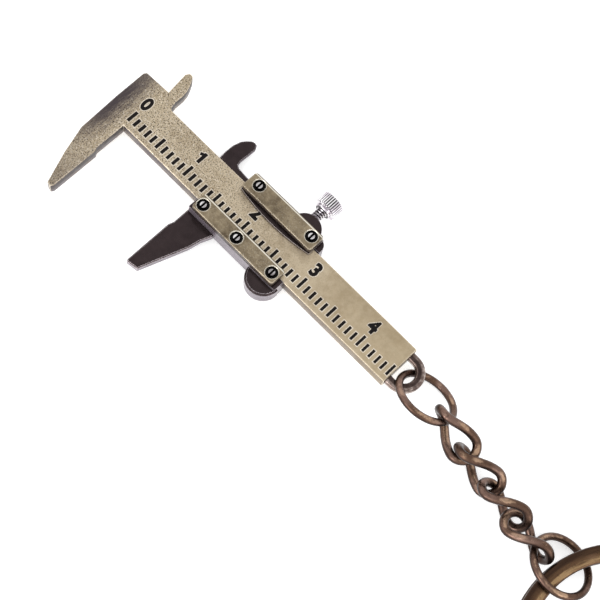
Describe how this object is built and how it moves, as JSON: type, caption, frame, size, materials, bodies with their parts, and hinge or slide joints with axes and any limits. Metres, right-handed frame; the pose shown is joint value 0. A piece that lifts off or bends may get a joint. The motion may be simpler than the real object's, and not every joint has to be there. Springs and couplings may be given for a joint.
{
  "type": "keychain vernier caliper",
  "caption": "Small brass vernier caliper with outside and inside jaws, a dark sliding jaw with lock screw, and a curb chain ending in a split ring.",
  "frame": {"origin": "centre of the fixed outside jaw's measuring face", "axes": "+X along the beam from the fixed jaw to the chain, +Y across the beam from the outside jaws to the inside jaws, +Z out of the scale face"},
  "size_m": [0.1056, 0.0298, 0.0056],
  "materials": {
    "antique_brass": "brushed, slightly worn",
    "gunmetal": "glossy dark plate",
    "spring_steel": "dark blued",
    "screw_steel": "turned, bright",
    "nickel": "bright plated",
    "chain_bronze": "antique, polished on the high spots",
    "ring_brass": "antique, polished edges"
  },
  "bodies": {
    "beam": {"beam": "antique_brass"},
    "slider": {"slider": "gunmetal", "lower_strip": "antique_brass", "upper_strip": "antique_brass", "leaf_spring": "spring_steel", "strip_screws": "screw_steel"},
    "lock_screw": {"lock_screw": "nickel"},
    "beam_ring": {"beam_ring": "chain_bronze"},
    "chain_link_1": {"chain_link_1": "chain_bronze"},
    "chain_link_2": {"chain_link_2": "chain_bronze"},
    "chain_link_3": {"chain_link_3": "chain_bronze"},
    "chain_link_4": {"chain_link_4": "chain_bronze"},
    "chain_ring": {"chain_ring": "chain_bronze"},
    "key_ring": {"key_ring": "ring_brass"}
  },
  "joints": [
    {"name": "slider_slide", "type": "slide", "parent": "beam", "child": "slider", "axis": [1, 0, 0], "range_m": [-0.01278, 0.016]},
    {"name": "lock_screw_turn", "type": "hinge", "parent": "slider", "child": "lock_screw", "pos_m": [0.02455, 0.0173, 0.0001], "axis": [0, 1, 0], "range_deg": [-360, 90]},
    {"name": "beam_ring_swing", "type": "hinge", "parent": "beam", "child": "beam_ring", "pos_m": [0.04585, 0.01118, 0.00005], "axis": [0, 0, 1], "range_deg": [-20, 16]},
    {"name": "link_1_swing", "type": "hinge", "parent": "beam_ring", "child": "chain_link_1", "pos_m": [0.0529, 0.01024, 0.001], "axis": [0, 0, 1], "range_deg": [-17, 25]},
    {"name": "link_2_swing", "type": "hinge", "parent": "chain_link_1", "child": "chain_link_2", "pos_m": [0.05647, 0.00878, -0.00014], "axis": [0, 0, 1], "range_deg": [-25, 25]},
    {"name": "link_3_swing", "type": "hinge", "parent": "chain_link_2", "child": "chain_link_3", "pos_m": [0.06241, 0.00881, -0.00078], "axis": [0, 0, 1], "range_deg": [-13, 15]},
    {"name": "link_4_swing", "type": "hinge", "parent": "chain_link_3", "child": "chain_link_4", "pos_m": [0.06817, 0.00809, -0.00063], "axis": [0, 0, 1], "range_deg": [-25, 24]},
    {"name": "chain_ring_swing", "type": "hinge", "parent": "chain_link_4", "child": "chain_ring", "pos_m": [0.07092, 0.00699, 0.00123], "axis": [0, 0, 1], "range_deg": [-25, 25]},
    {"name": "key_ring_turn", "type": "hinge", "parent": "chain_ring", "child": "key_ring", "pos_m": [0.08765, 0.00485, -0.00051], "axis": [0.0403, 0, 0.9992], "continuous": true}
  ]
}
